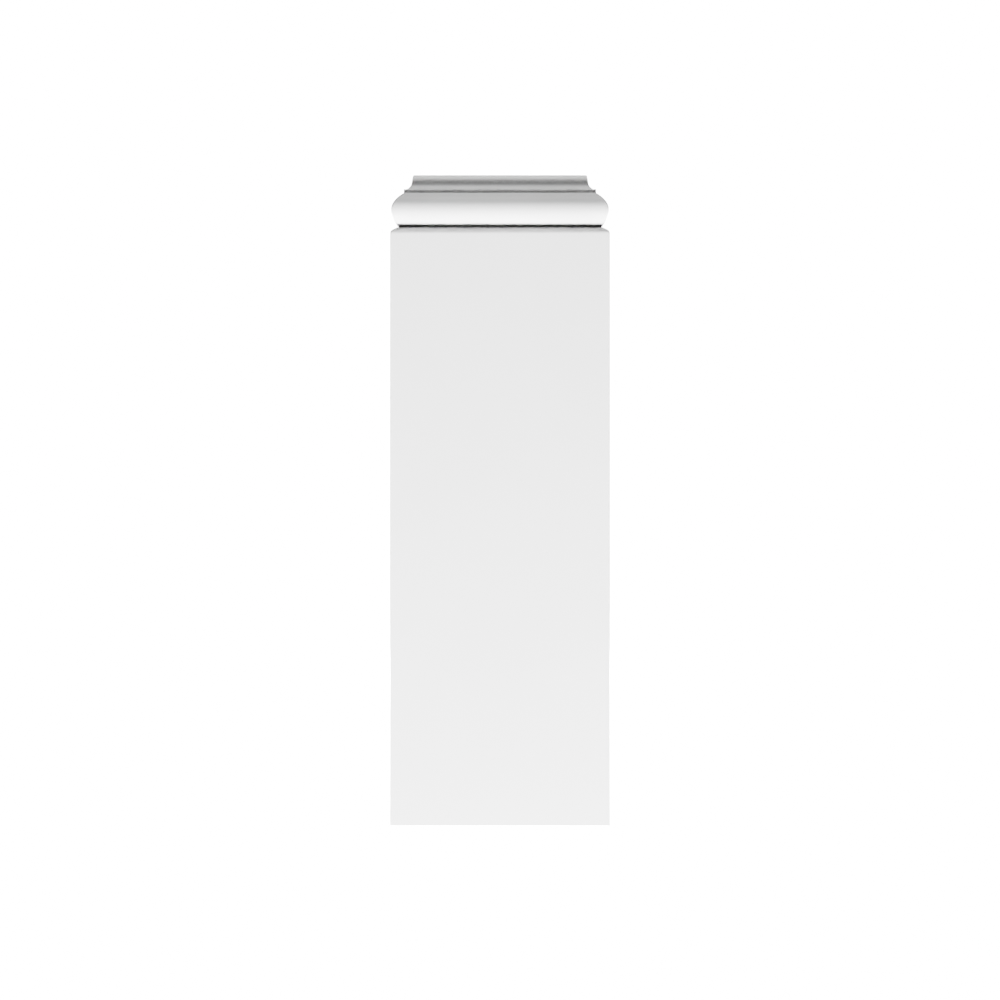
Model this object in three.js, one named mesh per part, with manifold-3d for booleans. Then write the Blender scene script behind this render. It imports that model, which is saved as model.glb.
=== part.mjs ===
// A pilaster base: a tall plain plinth block with a base moulding run round its top, cast in one
// piece. Its flat back is fixed to a wall, and the pilaster's shaft stands on its top.
//
// Millimetres, +Z up. X runs across the front, the front faces -Y and the flat back faces +Y.
// The origin is the middle of the underside.
//
// One profile gives the whole form. It is written as set-back from the block's face against height,
// and runs across the front and, mitred at the corners, back along both sides to the wall.

import * as THREE from "three";
import { mergeVertices } from "three/addons/utils/BufferGeometryUtils.js";
import Module from "manifold-3d";

// The casting as a whole
const width = 145;
const depth = 40;
const height = 430;

// The moulding's members from the top down, each with its own height
const neckHeight = 4.6; // nearly upright band that the shaft stands on
const cavettoHeight = 5.0; // hollow under the neck, a quarter of an oval
const cavettoDepth = 5.2; // how far the hollow goes in
const filletHeight = 2.4; // narrow upright band under the hollow
const torusUpperHeight = 11.3; // from the fillet's foot down to the nose
const torusLowerHeight = 10.1; // from the nose down to the quirk
const quirkHeight = 1.6; // narrow groove under the torus
const weatheringHeight = 2.3; // slope from the quirk out to the block's face

// Set-backs from the block's face
const filletSetBack = 8.9;
const neckFootSetBack = filletSetBack + cavettoDepth;
const neckTopSetBack = neckFootSetBack + 0.9; // the neck leans in a little
const noseSetBack = 0.65;
const torusFootSetBack = 4.6;
const quirkSetBack = 5.6;
const weatheringSetBack = 4.5;

// Share of each flank's height over which the torus is still full, before it falls away
const upperFullness = 0.53;
const lowerFullness = 0.35;

// Length of the block's face, and of the weathering, that the rounded edge between them takes up
const shoulderCut = 2.2;

// Straight pieces that each curve is cut into
const flankSteps = 14;
const cavettoSteps = 10;
const shoulderSteps = 5;

const primerWhite = new THREE.MeshStandardMaterial({
  color: 0xeeeeee,
  roughness: 0.6,
  metalness: 0,
});

// Points up the profile, from the foot of the block to the top: x is the set-back, y the height.
function profilePoints() {
  const neckFoot = height - neckHeight;
  const filletTop = neckFoot - cavettoHeight;
  const torusTop = filletTop - filletHeight;
  const nose = torusTop - torusUpperHeight;
  const torusFoot = nose - torusLowerHeight;
  const quirkFoot = torusFoot - quirkHeight;
  const blockTop = quirkFoot - weatheringHeight;

  const line = (fromX, fromY, toX, toY) =>
    new THREE.LineCurve(new THREE.Vector2(fromX, fromY), new THREE.Vector2(toX, toY));
  const lowerFlank = new THREE.QuadraticBezierCurve(
    new THREE.Vector2(torusFootSetBack, torusFoot),
    new THREE.Vector2(noseSetBack, nose - lowerFullness * torusLowerHeight),
    new THREE.Vector2(noseSetBack, nose),
  );
  const upperFlank = new THREE.QuadraticBezierCurve(
    new THREE.Vector2(noseSetBack, nose),
    new THREE.Vector2(noseSetBack, nose + upperFullness * torusUpperHeight),
    new THREE.Vector2(filletSetBack, torusTop),
  );
  const weatheringLength = Math.hypot(weatheringSetBack, weatheringHeight);
  const shoulderShare = shoulderCut / weatheringLength;
  const shoulder = new THREE.QuadraticBezierCurve(
    new THREE.Vector2(0, blockTop - shoulderCut),
    new THREE.Vector2(0, blockTop),
    new THREE.Vector2(
      shoulderShare * weatheringSetBack,
      blockTop + shoulderShare * weatheringHeight,
    ),
  );
  // The hollow's centre lies out in the air, straight above the fillet's face.
  const cavetto = new THREE.EllipseCurve(
    filletSetBack,
    neckFoot,
    cavettoDepth,
    cavettoHeight,
    -Math.PI / 2,
    0,
    false,
  );

  const members = [
    [line(0, 0, shoulder.v0.x, shoulder.v0.y), 1],
    [shoulder, shoulderSteps],
    [line(shoulder.v2.x, shoulder.v2.y, weatheringSetBack, quirkFoot), 1],
    [line(weatheringSetBack, quirkFoot, quirkSetBack, quirkFoot), 1],
    [line(quirkSetBack, quirkFoot, quirkSetBack, torusFoot), 1],
    [line(quirkSetBack, torusFoot, torusFootSetBack, torusFoot), 1],
    [lowerFlank, flankSteps],
    [upperFlank, flankSteps],
    [line(filletSetBack, torusTop, filletSetBack, filletTop), 1],
    [cavetto, cavettoSteps],
    [line(neckFootSetBack, neckFoot, neckTopSetBack, height), 1],
  ];
  const points = [new THREE.Vector2(0, 0)];
  for (const [curve, steps] of members) points.push(...curve.getPoints(steps).slice(1));
  return points;
}

// The base seen from its side: the moulded front on the left, the flat back on the right.
function sideOutline(points) {
  const front = points.map((p) => new THREE.Vector2(p.x - depth / 2, p.y));
  const back = [new THREE.Vector2(depth / 2, height), new THREE.Vector2(depth / 2, 0)];
  return new THREE.Shape([...front, ...back]);
}

// The base seen from the front: the profile up both sides.
function frontOutline(points) {
  const left = points.map((p) => new THREE.Vector2(p.x - width / 2, p.y));
  const right = points.map((p) => new THREE.Vector2(width / 2 - p.x, p.y)).reverse();
  return new THREE.Shape([...left, ...right]);
}

const wasm = await Module();
wasm.setup();

function toSolid(geometry) {
  const bare = geometry.clone().deleteAttribute("normal").deleteAttribute("uv");
  const merged = mergeVertices(bare);
  return new wasm.Manifold(
    new wasm.Mesh({
      numProp: 3,
      vertProperties: merged.attributes.position.array,
      triVerts: new Uint32Array(merged.index.array),
    }),
  );
}

function toGeometry(solid) {
  const mesh = solid.getMesh();
  const geometry = new THREE.BufferGeometry();
  geometry.setAttribute("position", new THREE.BufferAttribute(mesh.vertProperties, 3));
  geometry.setIndex(new THREE.BufferAttribute(mesh.triVerts, 1));
  geometry.computeVertexNormals();
  return geometry;
}

// The side outline drawn out across the front, and the front outline drawn out from the front to
// the wall. What the two have in common is the base, with its moulding mitred at both corners.
function castBase() {
  const points = profilePoints();
  const acrossFront = new THREE.ExtrudeGeometry(sideOutline(points), {
    depth: width,
    bevelEnabled: false,
  });
  acrossFront.applyMatrix4(
    new THREE.Matrix4().makeBasis(
      new THREE.Vector3(0, 1, 0),
      new THREE.Vector3(0, 0, 1),
      new THREE.Vector3(1, 0, 0),
    ),
  );
  acrossFront.translate(-width / 2, 0, 0);

  const frontToWall = new THREE.ExtrudeGeometry(frontOutline(points), {
    depth,
    bevelEnabled: false,
  });
  frontToWall.rotateX(Math.PI / 2);
  frontToWall.translate(0, depth / 2, 0);

  const solid = toSolid(acrossFront).intersect(toSolid(frontToWall));
  const mesh = new THREE.Mesh(toGeometry(solid), primerWhite);
  mesh.name = "pilaster_base";
  return mesh;
}

const part = new THREE.Group();
part.add(castBase());

export default part;
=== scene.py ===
import math

import bmesh
import bpy
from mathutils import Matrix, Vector


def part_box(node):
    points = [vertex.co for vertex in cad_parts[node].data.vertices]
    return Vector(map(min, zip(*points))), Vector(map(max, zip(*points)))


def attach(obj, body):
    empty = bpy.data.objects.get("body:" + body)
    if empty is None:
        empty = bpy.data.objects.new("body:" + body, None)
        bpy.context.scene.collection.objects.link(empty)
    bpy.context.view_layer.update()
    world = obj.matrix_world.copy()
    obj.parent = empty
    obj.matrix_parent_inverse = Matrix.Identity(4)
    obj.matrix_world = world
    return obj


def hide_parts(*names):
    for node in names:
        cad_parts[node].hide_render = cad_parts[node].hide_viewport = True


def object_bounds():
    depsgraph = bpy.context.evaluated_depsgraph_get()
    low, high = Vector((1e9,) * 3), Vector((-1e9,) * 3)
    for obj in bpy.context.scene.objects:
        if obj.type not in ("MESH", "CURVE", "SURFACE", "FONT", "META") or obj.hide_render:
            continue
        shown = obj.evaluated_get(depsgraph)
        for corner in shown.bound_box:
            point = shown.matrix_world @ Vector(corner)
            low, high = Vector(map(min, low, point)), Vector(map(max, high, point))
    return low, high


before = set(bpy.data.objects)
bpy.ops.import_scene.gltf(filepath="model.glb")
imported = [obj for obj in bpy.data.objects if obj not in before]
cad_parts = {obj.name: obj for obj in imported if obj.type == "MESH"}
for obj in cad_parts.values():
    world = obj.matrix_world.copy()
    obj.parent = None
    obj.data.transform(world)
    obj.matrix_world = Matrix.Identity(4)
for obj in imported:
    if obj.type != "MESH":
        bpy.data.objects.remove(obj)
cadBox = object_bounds()
mm = 0.001
print("frame loaded:", ", ".join(sorted(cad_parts)))


# Shader maths


class Wire:  # one output of a node, so that shader sums can be written as plain ones
    def __init__(self, tree, socket=None):
        self.tree = tree
        self.socket = socket

    def node(self, kind, settings, values, output=0):
        made = self.tree.nodes.new(kind)
        for name, value in settings.items():
            setattr(made, name, value)
        for key, value in values.items():
            socket = openSocket(made.inputs, key)
            if isinstance(value, Wire):
                self.tree.links.new(value.socket, socket)
            else:
                socket.default_value = value
        return Wire(self.tree, openSocket(made.outputs, output))

    def maths(self, operation, first, second):
        return self.node("ShaderNodeMath", {"operation": operation}, {0: first, 1: second})

    def __add__(self, other):
        return self.maths("ADD", self, other)

    def __radd__(self, other):
        return self.maths("ADD", other, self)

    def __sub__(self, other):
        return self.maths("SUBTRACT", self, other)

    def __rsub__(self, other):
        return self.maths("SUBTRACT", other, self)

    def __mul__(self, other):
        return self.maths("MULTIPLY", self, other)

    def __rmul__(self, other):
        return self.maths("MULTIPLY", other, self)

    def __abs__(self):
        return self.node("ShaderNodeMath", {"operation": "ABSOLUTE"}, {0: self})

    # 0 up to low and 1 from high on, eased between them. It falls where low is the higher.
    def rise(self, low, high):
        values = {"Value": self, "From Min": low, "From Max": high}
        return self.node("ShaderNodeMapRange", {"interpolation_type": "SMOOTHSTEP"}, values)

    def blend(self, first, second):  # of two colours, by this wire as the share of the second
        values = {"Factor": self, "A": first, "B": second}
        return self.node("ShaderNodeMix", {"data_type": "RGBA"}, values, "Result")


def openSocket(sockets, key):  # by place, or by name among those that the node's settings leave open
    if isinstance(key, int):
        return sockets[key]
    return next(s for s in sockets if s.name == key and s.enabled)


# The casting: one profile, lofted from the underside to the top, with the back as one flat face

casting = {  # millimetres, the same members as the solid's
    "neckHeight": 4.6,  # heights from the top down
    "cavettoHeight": 5.0,
    "filletHeight": 2.4,
    "torusUpperHeight": 11.3,
    "torusLowerHeight": 10.1,
    "quirkHeight": 1.6,
    "weatheringHeight": 2.3,
    "neckBatter": 0.9,  # how far the neck leans in
    "cavettoDepth": 5.2,
    "filletSetBack": 8.9,  # set-backs from the block's face
    "noseSetBack": 0.65,
    "torusFootSetBack": 4.6,
    "quirkSetBack": 5.6,
    "weatheringSetBack": 4.5,
    "upperFullness": 0.53,  # share of each flank's height over which the torus is still full
    "lowerFullness": 0.35,
    "frontArris": 1.0,  # softness of the two upright corners in front
    "backArris": 0.4,  # and of the edges against the wall
    "longestStep": 8.0,  # mesh steps: on the plain faces
    "bandStep": 1.0,  # on the narrow faces of the moulding
    "flankSteps": 28,  # on each half of the torus
    "hollowSteps": 20,
    "edgeSteps": 5,  # on each softened edge
    "frontSteps": 8,
    "backSteps": 3,
    "flatWeight": 100,  # how much the large flat faces keep their own shading beside small ones
}

softness = {  # millimetres cut back on each side of an edge, where paint and mould round it
    "underside": 0.3,
    "blockTop": 2.2,
    "weatheringHead": 0.2,
    "quirkInside": 0.25,
    "torusFoot": 0.3,
    "torusTop": 0.1,
    "filletTop": 0.1,
    "neckTop": 1.0,
}


def between(start, end, share):
    return tuple(a + (b - a) * share for a, b in zip(start, end))


def straight(start, end, longest):
    steps = max(1, math.ceil(math.dist(start, end) / longest))
    return [between(start, end, k / steps) for k in range(steps + 1)]


def bent(start, control, end, steps):
    shares = [k / steps for k in range(steps + 1)]
    return [between(between(start, control, t), between(control, end, t), t) for t in shares]


def hollow(centre, depth, height, steps):  # a quarter oval, from straight below its centre to level with it
    turns = [math.pi / 2 * (k / steps - 1) for k in range(steps + 1)]
    return [(centre[0] + depth * math.cos(t), centre[1] + height * math.sin(t)) for t in turns]


def shorten(stretch, length):  # takes that length off a stretch's far end
    points = list(stretch)
    while math.dist(points[-1], points[-2]) <= length:
        length -= math.dist(points[-1], points[-2])
        points.pop()
    last, before = points[-1], points[-2]
    points[-1] = between(last, before, length / math.dist(last, before))
    return points


def joinSoftly(stretches, cuts, steps):  # cuts holds the softness of each edge between two stretches
    path = []
    for number, stretch in enumerate(stretches):
        edge = stretch[0]
        cut = cuts[number - 1] if number else 0
        if cut:
            stretch = shorten(stretch[::-1], cut)[::-1]
            path += bent(path.pop(), edge, stretch[0], steps)[:-1]
        if number < len(cuts) and cuts[number]:
            stretch = shorten(stretch, cuts[number])
        path += stretch if cut or not path else stretch[1:]
    return path


def profile(shape, soft, height):  # (set-back, height) up the face, both in millimetres
    neckFoot = height - shape["neckHeight"]
    filletTop = neckFoot - shape["cavettoHeight"]
    torusTop = filletTop - shape["filletHeight"]
    nose = torusTop - shape["torusUpperHeight"]
    torusFoot = nose - shape["torusLowerHeight"]
    quirkFoot = torusFoot - shape["quirkHeight"]
    blockTop = quirkFoot - shape["weatheringHeight"]
    neckSetBack = shape["filletSetBack"] + shape["cavettoDepth"]
    below = nose - shape["lowerFullness"] * shape["torusLowerHeight"]
    above = nose + shape["upperFullness"] * shape["torusUpperHeight"]

    runIn = 2  # the two flat ends come in from their edges by this many times the softness
    underside = (runIn * soft["underside"], 0)
    foot = (0, 0)
    blockHead = (0, blockTop)
    weatheringHead = (shape["weatheringSetBack"], quirkFoot)
    quirkLow = (shape["quirkSetBack"], quirkFoot)
    quirkHigh = (shape["quirkSetBack"], torusFoot)
    torusLow = (shape["torusFootSetBack"], torusFoot)
    torusNose = (shape["noseSetBack"], nose)
    torusHigh = (shape["filletSetBack"], torusTop)
    filletHead = (shape["filletSetBack"], filletTop)
    neckHead = (neckSetBack + shape["neckBatter"], height)
    topInside = (neckHead[0] + runIn * soft["neckTop"], height)
    long, band = shape["longestStep"], shape["bandStep"]
    torus = bent(torusLow, (shape["noseSetBack"], below), torusNose, shape["flankSteps"])
    torus += bent(torusNose, (shape["noseSetBack"], above), torusHigh, shape["flankSteps"])[1:]
    hollowCentre = (shape["filletSetBack"], neckFoot)
    neck = hollow(hollowCentre, shape["cavettoDepth"], shape["cavettoHeight"], shape["hollowSteps"])
    neck += straight(neck[-1], neckHead, band)[1:]
    stretches = [
        straight(underside, foot, long),
        straight(foot, blockHead, long),
        straight(blockHead, weatheringHead, band),
        straight(weatheringHead, quirkLow, band),
        straight(quirkLow, quirkHigh, band),
        straight(quirkHigh, torusLow, band),
        torus,
        straight(torusHigh, filletHead, band),
        neck,
        straight(neckHead, topInside, long),
    ]
    cuts = [
        soft["underside"],
        soft["blockTop"],
        soft["weatheringHead"],
        soft["quirkInside"],
        soft["quirkInside"],
        soft["torusFoot"],
        soft["torusTop"],
        soft["filletTop"],
        soft["neckTop"],
    ]
    return joinSoftly(stretches, cuts, shape["edgeSteps"])[1:-1]  # each flat end becomes one face


def corner(centreX, centreY, radius, start, steps):  # a quarter turn to the left, seen from above
    turns = [math.radians(start + 90 * k / steps) for k in range(steps + 1)]
    return [(centreX + radius * math.cos(t), centreY + radius * math.sin(t)) for t in turns]


# The plan at one level, open behind: from the back round the left side, the front and the right side
def planPath(shape, halfWidth, front, back, counts):
    sharp, soft = shape["backArris"], shape["frontArris"]
    corners = [
        corner(sharp - halfWidth, back - sharp, sharp, 90, shape["backSteps"]),
        corner(soft - halfWidth, front + soft, soft, 180, shape["frontSteps"]),
        corner(halfWidth - soft, front + soft, soft, 270, shape["frontSteps"]),
        corner(halfWidth - sharp, back - sharp, sharp, 0, shape["backSteps"]),
    ]
    path = corners[0]
    for turned, count in zip(corners[1:], counts):
        flat = [between(path[-1], turned[0], k / count) for k in range(1, count)]
        path = path + flat + turned
    return path


def makeCasting(shape, soft):
    low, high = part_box("pilaster_base")
    width, depth, height = (high - low) / mm
    along = math.ceil(depth / shape["longestStep"])
    across = math.ceil(width / shape["longestStep"])
    arris = shape["backArris"]
    outline = profile(shape, soft, height)
    build = bmesh.new()
    loops = []
    for setBack, level in outline:
        rounded = max(0.0, arris - min(level, height - level))  # within the back's rounded foot or head
        back = depth / 2 - arris + math.sqrt(arris**2 - rounded**2)
        path = planPath(shape, width / 2 - setBack, setBack - depth / 2, back, (along, across, along))
        loops.append([build.verts.new(Vector((x, y, level)) * mm) for x, y in path])

    upright = [n for n, (_, level) in enumerate(outline) if arris <= level <= height - arris]
    first, last = upright[0], upright[-1]
    for n, (lower, upper) in enumerate(zip(loops, loops[1:])):
        for k in range(len(lower) - 1):
            build.faces.new((lower[k], lower[k + 1], upper[k + 1], upper[k]))
        if n < first or n >= last:  # the back's rounded foot and head
            build.faces.new((lower[-1], lower[0], upper[0], upper[-1]))
    behind = loops[first : last + 1]
    build.faces.new([loop[0] for loop in behind] + [loop[-1] for loop in behind[::-1]])
    build.faces.new(loops[0][::-1])
    build.faces.new(loops[-1])
    for face in build.faces:
        face.smooth = True

    mesh = bpy.data.meshes.new("base_casting")
    build.to_mesh(mesh)
    build.free()
    piece = bpy.data.objects.new("base_casting", mesh)
    bpy.context.scene.collection.objects.link(piece)
    flats = piece.modifiers.new("flatFacesStayFlat", "WEIGHTED_NORMAL")
    flats.weight = shape["flatWeight"]
    return piece


# The finish: white primer sprayed over the foam, which stays bare on the back and underneath

primer = {  # sizes, depths and places here are millimetres
    "color": (0.84, 0.84, 0.84, 1.0),
    "thinColor": (0.82, 0.82, 0.82, 1.0),  # where the coat is thinner
    "pitColor": (0.55, 0.54, 0.52, 1.0),
    "grooveShadeColor": (0.60, 0.595, 0.585, 1.0),  # painted shade: the coat made darker in the narrow groove under the torus
    "grooveShadeFade": 0.15,
    "film": 0.06,  # thickness of the coat
    "roughness": 0.5,
    "driftSize": 85.0,
    "driftEdges": (0.35, 0.65),  # of the noise, between a thin coat and a full one
    "driftRoughness": -0.05,
    "peelSize": 1.3,
    "peelDepth": 0.02,
    "mistSize": 0.35,
    "mistDetail": 1.0,
    "mistDepth": 0.005,
    "mistRoughness": 0.06,
    "pitSpacing": 15.0,
    "pitRadius": 0.3,
    "pitDepth": 0.06,
    "pitShare": 0.4,  # of the places where one could be
}

foam = {
    "color": (0.70, 0.61, 0.43, 1.0),
    "paleColor": (0.79, 0.73, 0.58, 1.0),
    "poreColor": (0.42, 0.33, 0.19, 1.0),
    "roughness": 0.86,
    "driftSize": 45.0,
    "driftDetail": 5.0,
    "driftEdges": (0.3, 0.7),  # of the noise, between the darker foam and the paler
    "cellSize": 0.8,
    "cellDepth": 0.06,
    "poreSpacing": 5.5,
    "poreRadius": 0.7,
    "poreDepth": 0.35,
    "poreShare": 0.5,
    "poreShade": 0.8,  # how much of the pores' color shows in them
    "streakLength": 55.0,
    "streakWidth": 0.9,
    "streakTurn": 4.0,  # degrees off level
    "streakDetail": 3.0,
    "streakDepth": 0.04,
    "streakEdges": (0.52, 0.75),  # of the noise, between clean foam and a full streak
    "streakShade": 0.22,
    "streakPolish": 0.08,  # how much less rough a streak is
    "overspray": 9.0,  # how far the coat runs in from the edges
    "headOverspray": 44.0,  # and down from the top of the back
    "headRaggedness": 1.5,  # times that of the other edges
    "undersideShare": 0.5,  # of the overspray, from front and back of the underside
    "wander": 6.0,
    "wanderSize": 30.0,
    "wanderDetail": 3.0,
    "dropletReach": 16.0,  # the coat ends in a mist of droplets about this wide
    "dropletSize": 1.2,
    "dropletDetail": 1.0,
    "dropletEdge": 1.0,
    "backBand": (0.35, 0.05),  # the foam starts and is whole at these distances from the back's face
    "undersideBand": (0.25, 0.05),  # and from the underside
}

noiseMiddle = 0.5


class Finish(Wire):  # textures of one material, all measured in millimetres on the object
    def __init__(self, tree):
        super().__init__(tree)
        coordinates = self.node("ShaderNodeTexCoord", {}, {}, "Object")
        values = {0: coordinates, "Scale": 1 / mm}
        self.place = self.node("ShaderNodeVectorMath", {"operation": "SCALE"}, values)
        self.x, self.y, self.z = (
            self.node("ShaderNodeSeparateXYZ", {}, {0: self.place}, axis) for axis in "XYZ"
        )

    def grain(self, size, detail=2.0):
        values = {"Vector": self.place, "Scale": 1 / size, "Detail": detail}
        return self.node("ShaderNodeTexNoise", {}, values)

    def streaks(self, length, across, turn, detail):  # long scratches in the XZ and XY faces alike
        angle = math.radians(turn)
        values = {
            "Vector": self.place,
            "Rotation": (0.0, angle, angle),
            "Scale": (1 / length, 1 / across, 1 / across),
        }
        turned = self.node("ShaderNodeMapping", {}, values)
        return self.node("ShaderNodeTexNoise", {}, {"Vector": turned, "Scale": 1.0, "Detail": detail})

    def dots(self, spacing, radius, share):  # 1 in the middle of scattered round pits, 0 outside them
        brink = 0.01  # half the width of the step between cells with a pit and cells without
        floorShare = 0.4  # of the radius, over which a pit's floor is flat
        values = {"Vector": self.place, "Scale": 1 / spacing, "Randomness": 1.0}
        reach = self.node("ShaderNodeTexVoronoi", {}, values, "Distance") * spacing
        chance = self.node("ShaderNodeTexVoronoi", {}, values, "Color")
        size = self.node("ShaderNodeSeparateColor", {}, {0: chance}, "Red")
        there = size.rise(1 - share - brink, 1 - share + brink)
        return reach.rise(radius, radius * floorShare) * there

    def cells(self, size):  # small round hollows, shoulder to shoulder
        values = {"Vector": self.place, "Scale": 1 / size}
        return self.node("ShaderNodeTexVoronoi", {}, values, "Distance")


def bareFoam(wires, size, core):  # 1 where no primer reached: clear of the edges, behind and below
    halfWidth, halfDepth, height = size
    wander = wires.grain(core["wanderSize"], core["wanderDetail"]) - noiseMiddle
    droplets = wires.grain(core["dropletSize"], core["dropletDetail"]) - noiseMiddle
    ragged = wander * (2 * core["wander"]) + droplets * (2 * core["dropletReach"])
    edge = core["overspray"] + ragged
    head = core["headOverspray"] + ragged * core["headRaggedness"]

    def inFrom(distance, inset):
        return (distance - inset).rise(0.0, core["dropletEdge"])

    starts, whole = core["backBand"]
    back = wires.y.rise(halfDepth - starts, halfDepth - whole)
    behind = back * inFrom(wires.z, edge) * inFrom(height - wires.z, head)
    depthWays = inFrom(halfDepth - abs(wires.y), edge * core["undersideShare"])
    below = wires.z.rise(*core["undersideBand"]) * depthWays
    return inFrom(halfWidth - abs(wires.x), edge) * (behind + below)


def insideGroove(wires, size, shape, fade):  # 1 in the groove under the torus, on the front and the sides, where its shade is painted
    above = ("neckHeight", "cavettoHeight", "filletHeight", "torusUpperHeight", "torusLowerHeight")
    halfDepth, height = size[1:]
    roof = height - sum(shape[member] for member in above)
    sill = roof - shape["quirkHeight"]
    inside = wires.z.rise(sill - fade, sill + fade) * wires.z.rise(roof + fade, roof - fade)
    back = halfDepth - 2 * fade
    return inside * wires.y.rise(back + fade, back - fade)


def primedFoam(coat, core, shape):
    material = bpy.data.materials.new("primed_polyurethane")
    material.use_nodes = True
    tree = material.node_tree
    shader = tree.nodes["Principled BSDF"]
    wires = Finish(tree)
    size = tuple(side / mm for side in cadBox[1])  # half the width, half the depth and the height
    bare = bareFoam(wires, size, core)

    drift = wires.grain(coat["driftSize"]).rise(*coat["driftEdges"])
    mist = wires.grain(coat["mistSize"], coat["mistDetail"])
    pits = wires.dots(coat["pitSpacing"], coat["pitRadius"], coat["pitShare"])
    white = pits.blend(drift.blend(coat["thinColor"], coat["color"]), coat["pitColor"])
    # painted shade: the groove under the torus gets a darker coat colour
    white = insideGroove(wires, size, shape, coat["grooveShadeFade"]).blend(white, coat["grooveShadeColor"])
    coatHeight = wires.grain(coat["peelSize"]) * coat["peelDepth"] + mist * coat["mistDepth"]
    coatHeight = coatHeight - pits * coat["pitDepth"] + coat["film"]
    coatRoughness = drift * coat["driftRoughness"] + mist * coat["mistRoughness"] + coat["roughness"]

    cream = wires.grain(core["driftSize"], core["driftDetail"]).rise(*core["driftEdges"])
    cells = wires.cells(core["cellSize"])
    pores = wires.dots(core["poreSpacing"], core["poreRadius"], core["poreShare"])
    streaks = wires.streaks(
        core["streakLength"], core["streakWidth"], core["streakTurn"], core["streakDetail"]
    )
    dark = pores * core["poreShade"] + streaks.rise(*core["streakEdges"]) * core["streakShade"]
    rubbed = dark.blend(cream.blend(core["color"], core["paleColor"]), core["poreColor"])
    coreHeight = cells * core["cellDepth"] + streaks * core["streakDepth"] - pores * core["poreDepth"]
    coreRoughness = core["roughness"] - streaks * core["streakPolish"]

    color = bare.blend(white, rubbed)
    roughness = coatRoughness * (1 - bare) + coreRoughness * bare
    height = coatHeight * (1 - bare) + coreHeight * bare
    bump = wires.node("ShaderNodeBump", {}, {"Height": height, "Strength": 1.0, "Distance": mm})
    tree.links.new(color.socket, shader.inputs["Base Color"])
    tree.links.new(roughness.socket, shader.inputs["Roughness"])
    tree.links.new(bump.socket, shader.inputs["Normal"])
    return material


base = makeCasting(casting, softness)
base.data.materials.append(primedFoam(primer, foam, casting))
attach(base, "root")
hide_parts("pilaster_base")
print("casting made:", len(base.data.vertices), "vertices")


# Floor and backdrop, both so bright that they come out plain white

stage = {  # metres
    "floorRadius": 9.0,
    "floorSegments": 96,
    "floorWhite": 0.8,
    "floorGlow": 1.0,
    "domeRadius": 14.0,
    "domeSubdivisions": 4,
    "domeGlow": 4.8,
}


def stageMaterial(name, white, glow):
    material = bpy.data.materials.new(name)
    material.use_nodes = True
    shader = material.node_tree.nodes["Principled BSDF"]
    shader.inputs["Base Color"].default_value = (white, white, white, 1.0)
    shader.inputs["Roughness"].default_value = 1.0
    shader.inputs["Specular IOR Level"].default_value = 0.0
    shader.inputs["Emission Color"].default_value = (1.0, 1.0, 1.0, 1.0)
    shader.inputs["Emission Strength"].default_value = glow
    return material


def openFromBelow(material):  # the floor's underside is clear, so that the base can be seen from below
    tree = material.node_tree
    wires = Wire(tree)
    under = wires.node("ShaderNodeNewGeometry", {}, {}, "Backfacing")
    clear = wires.node("ShaderNodeBsdfTransparent", {}, {})
    white = Wire(tree, tree.nodes["Principled BSDF"].outputs["BSDF"])
    either = wires.node("ShaderNodeMixShader", {}, {0: under, 1: white, 2: clear})
    tree.links.new(either.socket, tree.nodes["Material Output"].inputs["Surface"])
    return material


def stagePiece(name, makeShape, options, material):
    build = bmesh.new()
    makeShape(build, **options)
    mesh = bpy.data.meshes.new(name)
    build.to_mesh(mesh)
    build.free()
    mesh.materials.append(material)
    piece = bpy.data.objects.new(name, mesh)
    bpy.context.scene.collection.objects.link(piece)
    piece.visible_shadow = False  # the low lights shine up past it
    piece.visible_diffuse = False
    piece.visible_glossy = False
    return piece


def makeStage(size):
    disk = {"cap_ends": True, "segments": size["floorSegments"], "radius": size["floorRadius"]}
    ball = {"subdivisions": size["domeSubdivisions"], "radius": size["domeRadius"]}
    white = openFromBelow(stageMaterial("floorWhite", size["floorWhite"], size["floorGlow"]))
    glow = stageMaterial("backdropWhite", 0.0, size["domeGlow"])
    ground = stagePiece("floor", bmesh.ops.create_circle, disk, white)
    stagePiece("backdrop", bmesh.ops.create_icosphere, ball, glow)
    return ground


floor = makeStage(stage)
print("floor and backdrop made")


# Light: soft, mostly from low in front, with weaker lights beside and behind for the other views

lights = {  # degrees round from the front and above level, metres off and across
    "low_front": {"around": 0, "above": -51.5, "far": 2.6, "size": 0.6, "tone": 3.1},
    "mid_front": {"around": 0, "above": -41, "far": 2.6, "size": 0.6, "tone": 0.22},
    "level_front": {"around": 0, "above": -10, "far": 2.6, "size": 0.6, "tone": 0.035},
    "overhead": {"around": 0, "above": 85, "far": 5.2, "size": 1.2, "tone": 0.54},
    "left": {"around": -96, "above": -40, "far": 5.2, "size": 1.8, "tone": 1.2},
    "right": {"around": 96, "above": -40, "far": 5.2, "size": 1.8, "tone": 1.2},
    "behind": {"around": 180, "above": 20, "far": 5.2, "size": 1.8, "tone": 1.45},
}
floorSun = {"around": 0, "above": 62, "spread": 24, "tone": 7.0}
ambientTone = 0.02


def towardsLight(light):
    around, above = math.radians(light["around"]), math.radians(light["above"])
    level = math.cos(above)
    return Vector((math.sin(around) * level, -math.cos(around) * level, math.sin(above)))


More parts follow.
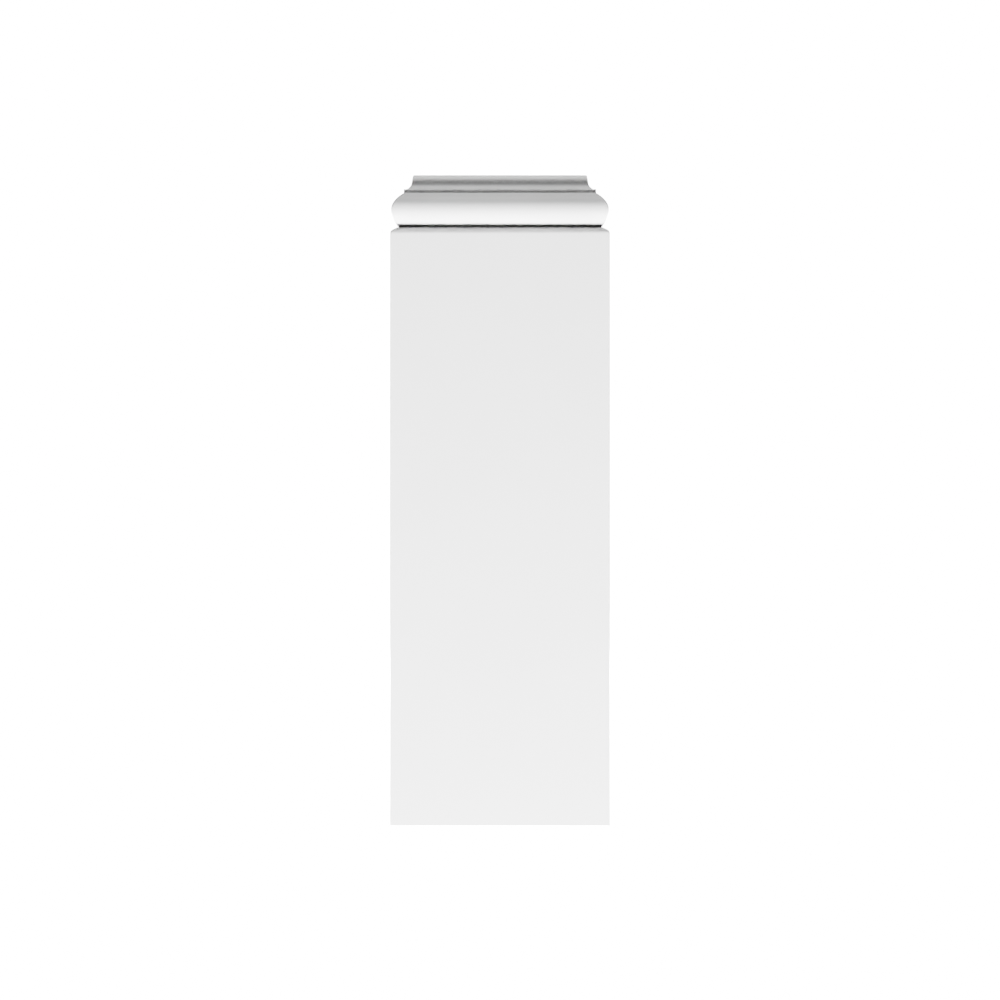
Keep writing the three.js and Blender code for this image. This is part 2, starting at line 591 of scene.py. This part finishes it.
def placeLamp(lamp, towards):
    placed = bpy.data.objects.new(lamp.name, lamp)
    placed.rotation_euler = towards.to_track_quat("Z", "Y").to_euler()
    bpy.context.scene.collection.objects.link(placed)
    return placed


def softLight(name, light, target):  # tone is how light it makes a white matt face turned to it
    towards = towardsLight(light)
    lamp = bpy.data.lights.new(name, "AREA")
    lamp.shape = "DISK"
    lamp.size = light["size"]
    lamp.energy = light["tone"] * (math.pi * light["far"]) ** 2
    placed = placeLamp(lamp, towards)
    placed.location = target + towards * light["far"]
    placed.visible_camera = False


def lightFloor(name, light, ground):  # the floor alone, where it leaves the base's shadow
    lamp = bpy.data.lights.new(name, "SUN")
    lamp.angle = math.radians(light["spread"])
    lamp.energy = light["tone"] * math.pi
    placed = placeLamp(lamp, towardsLight(light))
    onlyFloor = bpy.data.collections.new("lit_by_" + name)
    onlyFloor.objects.link(ground)
    placed.light_linking.receiver_collection = onlyFloor


def lightAround(tone):
    world = bpy.data.worlds.new("studio")
    world.use_nodes = True
    background = world.node_tree.nodes["Background"]
    background.inputs["Color"].default_value = (1.0, 1.0, 1.0, 1.0)
    background.inputs["Strength"].default_value = tone
    bpy.context.scene.world = world


middle = (Vector(cadBox[0]) + Vector(cadBox[1])) / 2
for name, light in lights.items():
    softLight(name, light, middle)
lightFloor("floor_sun", floorSun, floor)
lightAround(ambientTone)
bpy.context.scene.view_settings.view_transform = "AgX"
bpy.context.scene.view_settings.look = "AgX - High Contrast"
print("lights made:", ", ".join(lights))


# Camera: square on, level with the block's middle, from far off

view = {"lens": 250.0, "sensor": 36.0, "fromFront": 4.582, "above": 0.2149, "farthest": 60.0}


def makeCamera(setup):
    lens = bpy.data.cameras.new("camera")
    lens.lens = setup["lens"]
    lens.sensor_width = setup["sensor"]
    lens.clip_end = setup["farthest"]
    camera = bpy.data.objects.new("camera", lens)
    camera.location = (0.0, cadBox[0][1] - setup["fromFront"], setup["above"])
    camera.rotation_euler = (math.radians(90), 0.0, 0.0)
    bpy.context.scene.collection.objects.link(camera)
    bpy.context.scene.camera = camera


makeCamera(view)
print("camera placed")
